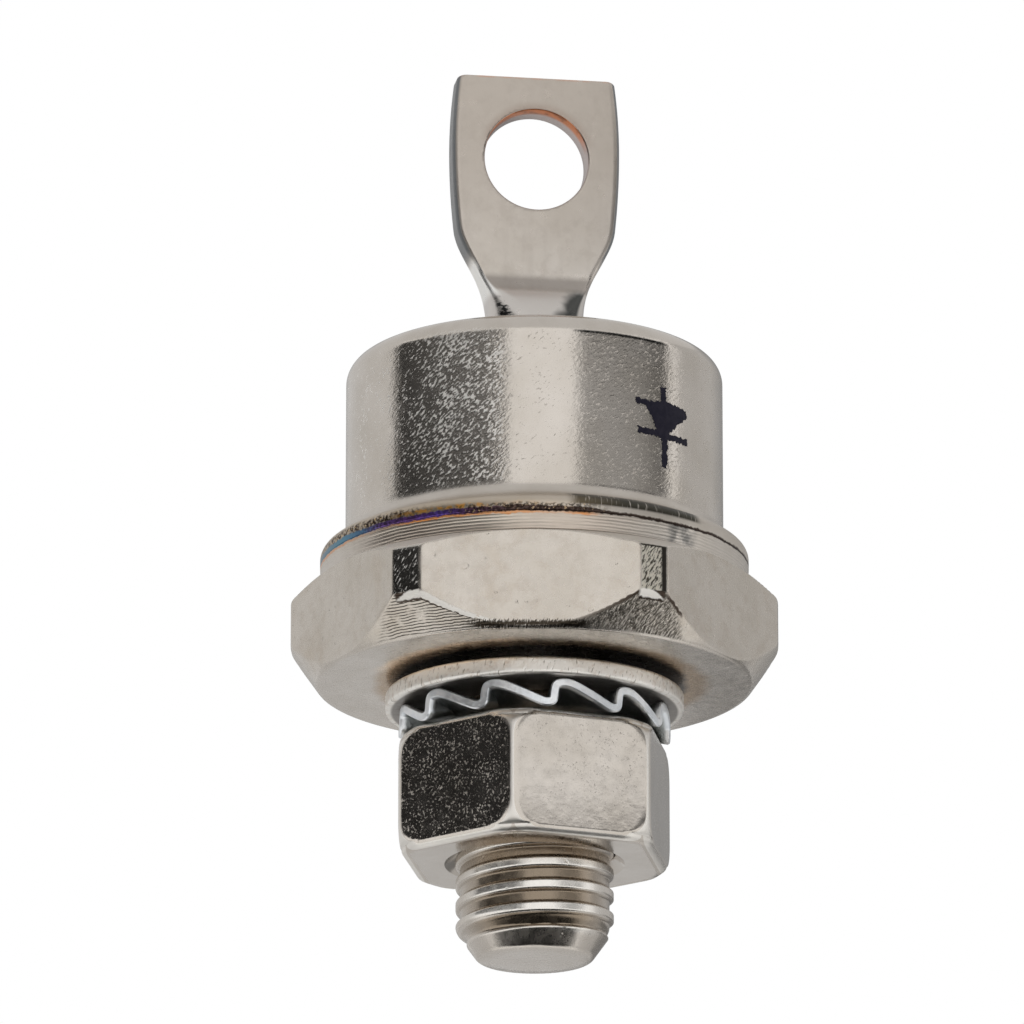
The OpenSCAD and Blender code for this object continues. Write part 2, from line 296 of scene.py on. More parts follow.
def base_skin():
    """The hexagon with its turned corners, closed by flat faces towards the axis."""
    edge_away = math.degrees(math.acos(HEX_FLATS / 2 / CORNER_R))
    angles = hexagon_angles(HEX_TURN, edge_away, soft=1.6)
    flats = hexagon_radius(angles, HEX_FLATS, HEX_TURN)[None, :]
    rim = 0.4
    hub_r = 1.0
    outline = [
        (SEAT_R - rim, 0), (SEAT_R, 0), (CORNER_R, UNDER_HEIGHT), (CORNER_R, hex_top - TOP_HEIGHT),
        (TOP_R, hex_top), (TOP_R - rim, hex_top),
    ]
    path = rounded_path(outline, rounding=0.14, spacing=0.05)
    seat = np.array([(r, 0.0) for r in np.linspace(hub_r, SEAT_R - 2 * rim, 6)])
    top = np.array([(r, hex_top) for r in np.linspace(TOP_R - 2 * rim, hub_r, 4)])
    profile = np.concatenate([seat, path, top])
    radii = smooth_min(profile[:, :1] + 0 * flats, flats, blend=0.05)
    heights = profile[:, 1:] + 0 * flats
    return skin(polar_rows(radii, heights, angles))


def stud_skin():
    """The threaded stud, with a cone and a softly rounded edge at its end, where the thread runs out."""
    into_base = 0.6
    first_step = 0.02
    angles = angles_round(128)
    heights = np.linspace(stud_end_z + first_step, into_base, 340)[:, None] + 0 * angles
    from_end = heights - stud_end_z
    cone = STUD_END_R + from_end * (STUD_R - STUD_END_R) / STUD_CHAMFER
    rounded = np.sqrt(np.clip(1 - (1 - from_end / STUD_ROUND) ** 2, 0, 1))
    rounded = np.where(from_end < STUD_ROUND, rounded, 1)
    cone = cone - STUD_ROUND * (1 - rounded)
    groove = STUD_R - thread_radius(angles, heights, STUD_R)
    groove = groove * ease((from_end - THREAD_RUN_OUT) / THREAD_FADE)
    radii = smooth_min(STUD_R + 0 * cone, cone, blend=0.1) - groove
    end_radii = np.array([0.3, 0.9, 1.5])[:, None] + 0 * angles
    radii = np.concatenate([end_radii, radii])
    heights = np.concatenate([0 * end_radii + stud_end_z, heights])
    return skin(polar_rows(radii, heights, angles))


def lathe_skin(profile, count):
    """A closed skin turned from a closed profile of radius and height."""
    angles = angles_round(count)
    radii = profile[:, :1] + 0 * angles
    heights = profile[:, 1:] + 0 * angles
    return skin(polar_rows(radii, heights, angles), wrap=True)


def ring_skin():
    inner = flange_r - RING_WIDTH
    outline = [
        (inner, hex_top), (flange_r - RING_LEAN, hex_top), (flange_r, weld_z - RING_LEAN),
        (flange_r, weld_z), (inner, weld_z),
    ]
    return lathe_skin(closed_path(outline, rounding=0.05, spacing=0.06), count=360)


def cap_skin():
    shoulder_x = flange_r - SHOULDER_R
    shoulder_z = weld_z + FLANGE_RIM
    turn = math.radians(SHOULDER_TURN)
    run_up_r = (shoulder_x - CAP_R + SHOULDER_R * math.cos(turn)) / (1 - math.cos(turn))
    run_up_z = shoulder_z + (SHOULDER_R + run_up_r) * math.sin(turn)
    edge_x, edge_z = CAP_R - CAP_EDGE_R, cap_top - CAP_EDGE_R
    outer = [(flange_r, weld_z)]
    outer += arc(shoulder_x, shoulder_z, SHOULDER_R, 0, SHOULDER_TURN, 12)
    outer += arc(CAP_R + run_up_r, run_up_z, run_up_r, 180 + SHOULDER_TURN, 180, 14)[1:]
    outer += arc(edge_x, edge_z, CAP_EDGE_R, 0, 90, 14)
    lip_r, wall_r, under = SEAL_R + CAP_WALL, CAP_R - CAP_WALL, cap_top - CAP_WALL
    inner = [
        (SEAL_R, cap_top), (SEAL_R, seal_bottom), (lip_r, seal_bottom), (lip_r, under), (wall_r, under),
        (wall_r, weld_z),
    ]
    return lathe_skin(closed_path(outer + inner, rounding=0.06, spacing=0.15), count=360)


def seal_skin():
    middle = (SEAL_R + TUBE_R) / 2
    half = (SEAL_R - TUBE_R) / 2
    across = np.linspace(-1, 1, 17)
    top = [(middle + half * x, cap_top - SEAL_DIP * (1 - x ** 4)) for x in across]
    bottom = [(middle + half * x, seal_bottom + SEAL_DIP * (1 - x ** 4)) for x in across[::-1]]
    return lathe_skin(np.array(top + bottom), count=128)


def washer_skin():
    bottom, top, outer_r = washer_low[2], washer_high[2], washer_high[0]
    outline = [(WASHER_BORE_R, bottom), (outer_r, bottom), (outer_r, top), (WASHER_BORE_R, top)]
    return lathe_skin(closed_path(outline, rounding=0.13, spacing=0.1), count=300)


def nut_skin():
    """The nut: six flats with rounded outlines, rounded corners, countersunk threaded bore."""
    angles = angles_round(432)
    flats = hexagon_radius(angles, NUT_FLATS, NUT_TURN, NUT_EDGE_R)[None, :]
    bottom, top = nut_low[2], nut_high[2]
    bore_r = STUD_R + THREAD_FIT
    mouth_r = bore_r + NUT_MOUTH
    corner_r = (NUT_FLATS / 2 - NUT_EDGE_R) / math.cos(math.pi / 6) + NUT_EDGE_R
    edge = NUT_SOFT_EDGE
    corner_end = edge + NUT_CORNER_HEIGHT

    def reach(depth):
        """Outer radius at a distance from the nearer end."""
        share = min(max((depth - edge) / NUT_CORNER_HEIGHT, 0), 1)
        turned = corner_r - NUT_CORNER_CUT * (1 - math.sqrt(1 - (1 - share) ** 2))
        return smooth_min(turned + 0 * flats, flats, blend=0.12)

    half = [(mouth_r + (reach(0) - edge - mouth_r) * t, 0.0) for t in np.linspace(0, 1, 8)]
    for a in np.radians([15, 30, 45, 60, 75]):
        depth = edge * (1 - math.cos(a))
        half.append((reach(depth) - edge * (1 - math.sin(a)), depth))
    half += [(reach(depth), depth) for depth in np.linspace(edge, corner_end, 28)]
    half += [(reach(depth), depth) for depth in np.linspace(corner_end, (top - bottom) / 2, 6)[1:]]
    rows = [(r, bottom + depth) for r, depth in half]
    rows += [(r, top - depth) for r, depth in half[-2::-1]]
    mouth_height = NUT_MOUTH + 0.2
    for z in np.linspace(top, bottom, 100)[1:-1]:
        from_end = min(top - z, z - bottom)
        thread = thread_radius(angles, np.full((1, len(angles)), z), bore_r)
        mouth = mouth_r - from_end * (NUT_MOUTH + THREAD_DEPTH) / mouth_height
        rows.append((np.maximum(thread, mouth), z))
    radii = np.concatenate([r + 0 * flats for r, z in rows])
    heights = np.concatenate([z + 0 * flats for r, z in rows])
    return skin(polar_rows(radii, heights, angles), wrap=True)


def fold_line(steps):
    """One folded tooth seen from the rim: place along the tooth and height, both 0 to 1."""
    corners = np.array([
        (-0.10, 0.93), (0.0, 1.0), (0.12, 0.93), (0.36, 0.56), (0.60, 0.17), (0.70, 0.03), (0.78, 0.02),
        (0.835, 0.14), (0.85, 0.45), (0.865, 0.76), (0.90, 0.93), (1.0, 1.0), (1.12, 0.93),
    ])
    line = []
    spans = len(corners) - 3
    for t in np.linspace(0, spans, steps, endpoint=False):
        k = min(int(t), spans - 1)
        u = t - k
        a, b, c, d = corners[k:k + 4]
        line.append(0.5 * (
            2 * b + (c - a) * u + (2 * a - 5 * b + 4 * c - d) * u ** 2
            + (3 * b - a - 3 * c + d) * u ** 3
        ))
    return np.array(line)


def lock_skin():
    """The lock washer: a sheet with a flat inner rim, folded more and more towards its outer rim."""
    line = fold_line(40)
    along = np.concatenate([line[:, 0] + k for k in range(LOCK_TEETH)])
    height = np.tile(line[:, 1], LOCK_TEETH)
    outer_r = lock_high[0]
    middle_z = (lock_low[2] + lock_high[2]) / 2
    swing = lock_high[2] - lock_low[2] - LOCK_SHEET
    edge_width, edge_drop = 0.06, 0.05
    rings = []
    for r in [*np.linspace(WASHER_BORE_R, outer_r - edge_width, 9), outer_r]:
        share = ease((r - WASHER_BORE_R - LOCK_RIM) / (outer_r - WASHER_BORE_R - LOCK_RIM))
        tooth = 2 * math.pi * r / LOCK_TEETH
        x = along * tooth
        z = middle_z + share * swing * (height - 0.5)
        ahead_x = np.roll(x, -1) - np.roll(x, 1)
        ahead_x[[0, -1]] += LOCK_TEETH * tooth
        ahead_z = np.roll(z, -1) - np.roll(z, 1)
        size = np.hypot(ahead_x, ahead_z)
        half = LOCK_SHEET / 2 if r < outer_r else LOCK_SHEET / 2 - edge_drop
        rings.append((r, x, z, -ahead_z / size * half, ahead_x / size * half))
    turn = math.radians(LOCK_TURN - 90)
    sections = []
    for side, order in ((-1, rings), (1, rings[::-1])):
        for r, x, z, out_x, out_z in order:
            angle = (x + side * out_x) / r + turn
            sections.append(np.stack([r * np.cos(angle), r * np.sin(angle), z + side * out_z], axis=-1))
    return skin(np.array(sections), wrap=True)


def blade_half_width(z):
    side_r = UPPER_SIDE_R if z > WIDEST_Z else LOWER_SIDE_R
    over = min(max((z - blade_end + BLADE_CORNER_R) / BLADE_CORNER_R, 0), 1)
    corner = BLADE_CORNER_R * (1 - math.sqrt(1 - over ** 2))
    wide = BLADE_WIDTH / 2 - (z - WIDEST_Z) ** 2 / (2 * side_r) - corner
    return TUBE_R + (wide - TUBE_R) * float(ease((z - WIDEN_Z) / WIDEN_LENGTH))


def blade_half_thick(z):
    """Half the terminal's thickness, with a soft crease where the slope meets the flat."""
    flat = BLADE_THICK / 2
    share = min(max((z - NECK_Z) / (FLATTEN_LENGTH - CREASE_DROP), 0), 2)
    slope = (TUBE_R - flat) * math.pi / 2
    if share < 1:
        sloping = flat + (TUBE_R - flat) * math.cos(math.pi / 2 * share)
    else:
        sloping = flat - slope * (share - 1)
    return -float(smooth_min(-flat, -sloping, CREASE_BLEND))


def even_ring(points, count):
    """A closed line of points, spaced evenly."""
    points = np.array(points + points[:1])
    along = np.concatenate([[0], np.cumsum(np.linalg.norm(np.diff(points, axis=0), axis=1))])
    places = np.linspace(0, along[-1], count, endpoint=False)
    return np.stack([np.interp(places, along, points[:, k]) for k in range(2)], axis=-1)


def terminal_skin():
    flat_z, corner_z = CREASE_Z + 0.5, blade_end - BLADE_CORNER_R
    heights = np.concatenate([
        np.linspace(tube_bottom, NECK_Z, 8),
        np.linspace(NECK_Z, flat_z, 40)[1:],
        np.linspace(flat_z, corner_z, 60)[1:],
        blade_end - BLADE_CORNER_R * (1 - np.sin(np.linspace(0, math.pi / 2, 9)))[1:],
    ])
    rows = []
    for z in heights:
        wide, thick = blade_half_width(z), blade_half_thick(z)
        edge = TUBE_R + (BLADE_EDGE_R - TUBE_R) * float(ease((z - NECK_Z) / FLATTEN_LENGTH))
        edge = min(edge, wide, thick)
        ring = [(wide, 0)]
        for quarter, (sx, sy) in enumerate([(1, 1), (-1, 1), (-1, -1), (1, -1)]):
            ring += arc(sx * (wide - edge), sy * (thick - edge), edge, 90 * quarter, 90 * quarter + 90, 24)
        rows.append([(x, y, z) for x, y in even_ring(ring, 240)])
    return skin(np.array(rows))


def cut(thing, cutter):
    """Takes one object's volume away from another, and removes it."""
    modifier = thing.modifiers.new("cut", "BOOLEAN")
    modifier.operation = "DIFFERENCE"
    modifier.solver = "EXACT"
    modifier.object = cutter
    depsgraph = bpy.context.evaluated_depsgraph_get()
    mesh = bpy.data.meshes.new_from_object(thing.evaluated_get(depsgraph))
    thing.modifiers.clear()
    thing.data = mesh
    bpy.data.objects.remove(cutter)


def hole_cutter():
    """A round cutter through the blade that flares where it leaves each face."""
    flare = 0.07
    face = BLADE_THICK / 2
    profile = [(HOLE_R + flare + 1, -face - 1), (HOLE_R + flare, -face)]
    profile += [(HOLE_R + flare * (1 - t) ** 2, -face + flare * t) for t in np.linspace(0, 1, 5)[1:]]
    profile += [(r, -y) for r, y in profile[::-1]]
    angles = angles_round(128)
    rows = [
        np.stack([r * np.cos(angles), 0 * angles + y, HOLE_Z + r * np.sin(angles)], axis=-1)
        for r, y in profile
    ]
    return make_object("cutter", [skin(np.array(rows))])


def make_terminal():
    terminal = make_object("terminal_dressed", [terminal_skin()])
    cut(terminal, hole_cutter())
    terminal.data.transform(Matrix.Rotation(math.radians(BLADE_TURN), 4, "Z"))
    return terminal


# The printed polarity mark: a lead, a bar with a filled triangle under it, a second bar and a lead.
# Each point is a place across the mark and a height above the seat.
MARK_TURN = 42.5
MARK_OUTLINE = [
    (-0.13, 10.7), (0.12, 10.7), (0.13, 10.12), (0.6, 10.06), (1.3, 9.98), (1.36, 9.72), (0.85, 9.34),
    (0.5, 9.0), (0.3, 8.84), (1.38, 8.82), (1.38, 8.58), (0.2, 8.56), (0.15, 7.4), (-0.12, 7.4), (-0.1, 8.5),
    (-0.3, 8.6), (-1.3, 8.62), (-1.3, 8.86), (-0.4, 8.86), (-0.5, 9.15), (-0.72, 9.5), (-0.95, 9.8),
    (-1.36, 9.8), (-1.38, 10.04), (-0.75, 10.0), (-0.15, 10.06),
]
INK_THICK = 0.012


def make_mark():
    """A thin film of ink on the cap's wall, with a ragged outline."""
    random = np.random.default_rng(5)
    outline = closed_path(MARK_OUTLINE, rounding=0.03, spacing=0.07)
    outline = outline + random.uniform(-0.05, 0.05, outline.shape)
    work = bmesh.new()
    work.faces.new([work.verts.new((across, 0, height)) for across, height in outline])
    for across in np.arange(-1.3, 1.35, 0.1):
        everything = work.verts[:] + work.edges[:] + work.faces[:]
        bmesh.ops.bisect_plane(work, geom=everything, plane_co=(across, 0, 0), plane_no=(1, 0, 0))
    bmesh.ops.triangulate(work, faces=work.faces[:])
    back = bmesh.ops.extrude_face_region(work, geom=work.faces[:])["geom"]
    for vertex in back:
        if isinstance(vertex, bmesh.types.BMVert):
            vertex.co.y = 1
    for vertex in work.verts:
        across, depth, height = vertex.co
        angle = math.radians(MARK_TURN) + across / CAP_R
        r = CAP_R + INK_THICK * (1 - 2 * depth)
        vertex.co = Vector((r * math.sin(angle), -r * math.cos(angle), height)) * MM
    bmesh.ops.recalc_face_normals(work, faces=work.faces[:])
    mesh = bpy.data.meshes.new("polarity_mark")
    work.to_mesh(mesh)
    work.free()
    return add_object("polarity_mark", mesh)


# Materials: short calls that each add a node to the tree that their inputs come from


def is_socket(value):
    return isinstance(value, bpy.types.NodeSocket)


def feed(socket, value):
    """Links a socket to another one, or sets its value."""
    if is_socket(value):
        socket.id_data.links.new(value, socket)
    else:
        socket.default_value = value


def add(kind, inputs, tree=None, **settings):
    if tree is None:
        tree = next(value.id_data for value in inputs.values() if is_socket(value))
    made = tree.nodes.new(kind)
    for name, value in settings.items():
        setattr(made, name, value)
    for key, value in inputs.items():
        feed(made.inputs[key], value)
    return made


def calculate(operation, a, b=0.0):
    return add("ShaderNodeMath", {0: a, 1: b}, operation=operation).outputs[0]


def times(*values):
    """The product of some values."""
    return reduce(partial(calculate, "MULTIPLY"), values)


def plus(a, b):
    return calculate("ADD", a, b)


def minus(a, b):
    return calculate("SUBTRACT", a, b)


def either(a, b):
    """The greater of two shares."""
    return calculate("MAXIMUM", a, b)


def step(value, low, high):
    """0 below low, 1 above high, and smooth between; falls where high is below low."""
    inputs = {"Value": value, "From Min": low, "From Max": high}
    return add("ShaderNodeMapRange", inputs, interpolation_type="SMOOTHSTEP").outputs[0]


def remap(value, low, high, to_low, to_high):
    inputs = {"Value": value, "From Min": low, "From Max": high, "To Min": to_low, "To Max": to_high}
    return add("ShaderNodeMapRange", inputs).outputs[0]


def band(value, low, high, soft):
    """1 between low and high, and 0 outside."""
    return times(step(value, low - soft, low + soft), step(value, high + soft, high - soft))


def mix(share, a, b):
    """A blend of two colours, each a socket or red, green and blue."""
    a, b = (value if is_socket(value) else (*value, 1) for value in (a, b))
    return add("ShaderNodeMix", {0: share, 6: a, 7: b}, data_type="RGBA").outputs[2]


def ramp(angle, *stops):
    """A share or a colour that changes round the axis, at stops in degrees from the front."""
    made = add("ShaderNodeValToRGB", {"Fac": remap(angle, -180, 180, 0, 1)})
    elements = made.color_ramp.elements
    while len(elements) < len(stops):
        elements.new(0.5)
    for element, (degrees, value) in zip(elements, stops):
        element.position = degrees / 360 + 0.5
        element.color = (*value, 1) if isinstance(value, tuple) else (value, value, value, 1)
    return made.outputs[0]


def split(point):
    """A point's three coordinates."""
    return tuple(add("ShaderNodeSeparateXYZ", {0: point}).outputs)


def stretch(point, factors):
    return add("ShaderNodeVectorMath", {0: point, 1: factors}, operation="MULTIPLY").outputs[0]


def dot(a, b):
    return add("ShaderNodeVectorMath", {0: a, 1: b}, operation="DOT_PRODUCT").outputs["Value"]


def noise(point, scale, detail=3.0, rough=0.55):
    inputs = {"Vector": point, "Scale": scale, "Detail": detail, "Roughness": rough}
    return add("ShaderNodeTexNoise", inputs).outputs[0]


def sway(pattern, width):
    """A pattern of about 0.5 as a shift to either side."""
    return times(minus(pattern, 0.5), width)


def around(x, y):
    """Angle in degrees from the front, positive to the right."""
    return calculate("DEGREES", calculate("ARCTAN2", x, times(y, -1.0)))


def distance(x, y):
    return calculate("SQRT", plus(times(x, x), times(y, y)))


def hatch(point, radius, lean, along, across):
    """Fine strokes that lean on a turned surface, each about so long and so wide."""
    x, y, z = split(point)
    round_way = times(around(x, y), math.radians(radius))
    cosine, sine = math.cos(math.radians(lean)), math.sin(math.radians(lean))
    length = calculate("DIVIDE", plus(times(round_way, cosine), times(z, sine)), along)
    width = calculate("DIVIDE", minus(times(z, cosine), times(round_way, sine)), across)
    return noise(add("ShaderNodeCombineXYZ", {0: length, 1: width}).outputs[0], 1.0, 2.0, 0.6)


def turned_lines(point, wobble_scale, wobble, spacing):
    """Waves up a turned surface, between -1 and 1 and a little uneven."""
    height = plus(split(point)[2], times(noise(point, wobble_scale, 2), wobble))
    return calculate("SINE", times(height, 2 * math.pi / spacing))


def hexagon_depth(x, y, flats, turn):
    """How far a point lies outside a hexagon's flats: 0 on a flat, and below 0 inside."""
    angle = minus(around(x, y), turn - 30)
    away = minus(calculate("FLOORED_MODULO", angle, 60.0), 30.0)
    reach = times(distance(x, y), calculate("COSINE", calculate("RADIANS", away)))
    return minus(reach, flats / 2)


def new_material(name):
    material = bpy.data.materials.new(name)
    material.use_nodes = True
    return material


class Surface:
    """A material that is painted, roughened and embossed step by step."""

    def __init__(self, name):
        self.material = new_material(name)
        tree = self.material.node_tree
        self.inputs = tree.nodes["Principled BSDF"].inputs
        self.texture = add("ShaderNodeTexCoord", {}, tree)
        millimetres = {0: self.texture.outputs["Object"], "Scale": 1 / MM}
        self.point = add("ShaderNodeVectorMath", millimetres, operation="SCALE").outputs[0]
        self.normal = None

    def paint(self, share, colour, amount=None, rough=None):
        """Lays a colour over a share of the surface."""
        if amount is not None:
            share = times(share, amount)
        self.colour = mix(share, self.colour, colour)
        if rough is not None:
            self.roughen(share, rough)

    def roughen(self, share, rough):
        self.rough = remap(share, 0, 1, self.rough, rough)

    def emboss(self, height, depth, strength=1.0):
        """Adds bumps of a depth in millimetres."""
        inputs = {"Height": height, "Distance": depth * MM, "Strength": strength}
        if self.normal is not None:
            inputs["Normal"] = self.normal
        self.normal = add("ShaderNodeBump", inputs).outputs[0]

    def finish(self):
        feed(self.inputs["Base Color"], self.colour)
        feed(self.inputs["Roughness"], self.rough)
        feed(self.inputs["Normal"], self.normal)
        return self.material


NICKEL = (0.66, 0.61, 0.555)
NICKEL_SHADE = (0.58, 0.53, 0.47)
COPPER = (0.62, 0.22, 0.09)


def plated(name, rough_low, rough_high):
    """Warm grey nickel, a little cloudy, with uneven gloss."""
    surface = Surface(name)
    surface.inputs["Metallic"].default_value = 1.0
    surface.colour = mix(step(noise(surface.point, 0.45, 4), 0.3, 0.75), NICKEL, NICKEL_SHADE)
    surface.rough = remap(noise(surface.point, 2.4, 4), 0.3, 0.7, rough_low, rough_high)
    return surface


# Lean of the tool marks on the base, in degrees, and heights of the cap's painted shade line under its rim
# and of the neck's painted dark reflection
STROKE_LEAN = 58
RIM_SHADE_Z = cap_top - 0.83
NECK_REFLECTION_Z = cap_top + 1.65


def base_material():
    """The turned copper base: satin flats, hatched corner strips, turned cone, brown thread roots."""
    base = plated("nickel_turned", 0.2, 0.32)
    point, paint = base.point, base.paint
    x, y, z = split(point)
    radius = distance(x, y)
    angle = around(x, y)
    depth = hexagon_depth(x, y, HEX_FLATS, HEX_TURN)
    side = calculate("ABSOLUTE", minus(angle, HEX_TURN))
    right = step(angle, -5, 25)
    left = step(right, 0.6, 0.1)

    # Brown stains on the flats, and the pale upper chamfer
    above_seat = step(z, 0, 0.4)
    paint(times(step(noise(point, 0.5, 5, 0.6), 0.52, 0.72), above_seat), (0.5, 0.4, 0.3), 0.3)
    paint(above_seat, (0.58, 0.52, 0.43), 0.22)
    paint(times(step(noise(point, 1.7, 6, 0.7), 0.46, 0.66), above_seat), (0.47, 0.4, 0.33), 0.3)
    strip_top = hex_top - TOP_HEIGHT
    chamfer = times(step(z, strip_top, strip_top + 0.1), step(depth, -0.01, -0.03))
    paint(chamfer, (0.72, 0.67, 0.61), rough=0.6)

    # Corner strips with leaning strokes: pale ones to the left, painted as glints over the tool marks, and
    # dark ones to the right
    strip = times(step(depth, -0.02, -0.05), band(z, UNDER_HEIGHT + 0.05, strip_top - 0.02, 0.04))
    strokes = hatch(point, CORNER_R, STROKE_LEAN, 0.26, 0.075)
    paint(strip, (0.5, 0.47, 0.43), rough=0.1)
    # Painted highlight: matte near-white strokes that stand in for glints on the strips
    paint(times(strip, step(strokes, 0.55, 0.68)), (0.85, 0.83, 0.8), rough=0.75)
    pale = times(strip, right)
    paint(pale, (0.68, 0.64, 0.56), rough=0.6)
    paint(times(pale, step(strokes, 0.53, 0.4)), (0.09, 0.08, 0.065))
    frayed = plus(depth, sway(strokes, 0.12))
    border = times(pale, band(frayed, -0.13, 0.02, 0.02), step(angle, 29.0, 29.6))
    border = either(border, times(pale, step(z, strip_top - 0.12, strip_top - 0.07)))
    paint(border, (0.04, 0.035, 0.03))

    # The cone under the corners: turned lines to the left, their grooves painted dark, partly tarnish and
    # partly painted shade; leaning strokes to the right
    cone_r = plus(calculate("DIVIDE", z, math.tan(math.radians(UNDER_SLOPE))), SEAT_R)
    from_cone = minus(cone_r, radius)
    below_flats = times(step(from_cone, 0.1, 0.05), step(depth, -0.02, -0.06))
    fade = minus(side, remap(z, 0, UNDER_HEIGHT, 43, 35))
    on_cone = times(below_flats, band(z, 0.08, UNDER_HEIGHT, 0.05), step(fade, 2, -2))
    grooves = turned_lines(point, 1.5, 0.12, 0.098)
    turned = times(on_cone, left)
    groove_shade_patches = step(noise(point, 2.2, 3), 0.28, 0.5)
    # Painted shade and tarnish in the bottoms of the turned grooves, in patches
    paint(times(turned, groove_shade_patches, step(grooves, -0.1, -0.8)), (0.07, 0.06, 0.05))
    hatched = times(on_cone, right)
    cross = hatch(point, CORNER_R, STROKE_LEAN, 0.22, 0.07)
    paint(times(hatched, step(cross, 0.62, 0.42)), (0.14, 0.125, 0.105))

    # A painted highlight on the pale lip under the strips and along the front flat's left edge, and ragged
    # painted shade along its right edge
    ragged = sway(noise(point, 5.0, 3), 0.15)
    height = plus(minus(z, UNDER_HEIGHT), ragged)
    lip_place = calculate("DIVIDE", plus(depth, ragged), remap(z, 0.25, UNDER_HEIGHT, -0.02, -0.17))
    under_strip = band(side, 26.4, 33.2, 0.4)
    in_front = step(side, 30.2, 29.4)
    left_edge = times(in_front, band(z, 0.25, UNDER_HEIGHT, 0.06), step(from_cone, 0.1, 0.05), left)
    on_slope = times(step(from_cone, 0.14, 0.08), step(depth, -0.003, -0.015))
    dark_edge = times(on_slope, right, step(plus(depth, sway(cross, 0.16)), -0.085, -0.055))
    far_edge = times(band(side, 30.6, 40, 0.4), band(z, 0.8, UNDER_HEIGHT, 0.2))
    shade = times(left_edge, band(lip_place, 1.1, 1.5, 0.1))
    shade = either(shade, times(dark_edge, in_front, band(z, 0.2, UNDER_HEIGHT, 0.06)))
    shade = either(shade, times(under_strip, band(height, -0.3, 0.06, 0.02)))
    shade = either(shade, times(dark_edge, far_edge))
    # Painted shade: dark bands beside the lip, under the strips and along the flats' right edges
    paint(shade, (0.06, 0.045, 0.035))
    arched = minus(height, remap(side, 29.5, 33.2, 0.07, -0.22))
    lip_highlight = times(under_strip, step(height, -0.26, -0.19), step(arched, 0.04, -0.04))
    lip_highlight = either(lip_highlight, times(left_edge, band(lip_place, -0.1, 1.0, 0.1)))
    # Painted highlight: the lip nearly white, matte and barely metallic
    paint(lip_highlight, (0.95, 0.91, 0.85), rough=0.6)
    feed(base.inputs["Metallic"], remap(lip_highlight, 0, 1, 1.0, 0.1))
    hairs = hatch(point, CORNER_R, 68, 0.22, 0.05)
    torn = times(step(side, 19, 13), band(plus(z, sway(hairs, 0.5)), 0.05, 0.29, 0.05))
    paint(times(torn, step(depth, -0.3, -0.2)), (0.05, 0.04, 0.03))

    # The seat: a golden brown band of painted shade, a painted gold highlight to the left, and nearly black
    # painted shadow round the washer
    under = band(z, -0.06, 0.04, 0.03)
    cloud = remap(noise(point, 0.8, 4), 0.3, 0.7, 0.14, -0.14)
    reach = plus(distance(minus(x, 0.25), plus(y, 0.3)), cloud)
    # Painted shade: a brown band round the washer
    paint(times(under, band(reach, 5.4, 6.55, 0.35)), (0.42, 0.29, 0.17), 0.8)
    # Painted highlight: pale gold, to the left
    gold_highlight = times(under, band(angle, -66, -6, 8), band(reach, 5.95, 6.9, 0.25))
    paint(gold_highlight, (0.92, 0.7, 0.5), 0.8)
    # Painted shadow of the washer, nearly black
    paint(times(under, step(reach, 6.0, 5.6)), (0.06, 0.046, 0.034))

    # The thread: brown roots towards the front, partly tarnish and partly painted shade, and painted
    # highlights on the crests
    on_stud = times(step(z, -0.3, -0.6), step(z, stud_end_z + 0.5, stud_end_z + 0.8))
    cone_part = remap(z, stud_end_z, stud_end_z + STUD_CHAMFER, STUD_END_R, STUD_R)
    groove = minus(calculate("MINIMUM", cone_part, STUD_R), radius)
    forward = step(calculate("ABSOLUTE", angle), 75, 30)
    # Tarnish and painted shade in the roots, stronger towards the front
    root_tarnish_and_shade = times(step(groove, 0.05, THREAD_DEPTH - 0.05), on_stud, remap(forward, 0, 1, 0.3, 0.85))
    paint(root_tarnish_and_shade, (0.24, 0.18, 0.12))
    # Painted highlight on the crests, towards the front
    crest_highlight = times(step(groove, 0.03, 0.005), on_stud, forward)
    paint(crest_highlight, (0.92, 0.89, 0.84), 0.8)

    base.emboss(noise(stretch(point, (1, 1, 0.35)), 5.0, 4), 0.004)
    base.emboss(step(noise(point, 2.6, 2.0, 0.6), 0.76, 0.7), 0.01)
    base.emboss(strokes, 0.03, times(strip, remap(right, 0, 1, 0.4, 1.0)))
    base.emboss(grooves, 0.006, turned)
    base.emboss(cross, 0.03, hatched)
    return base.finish()


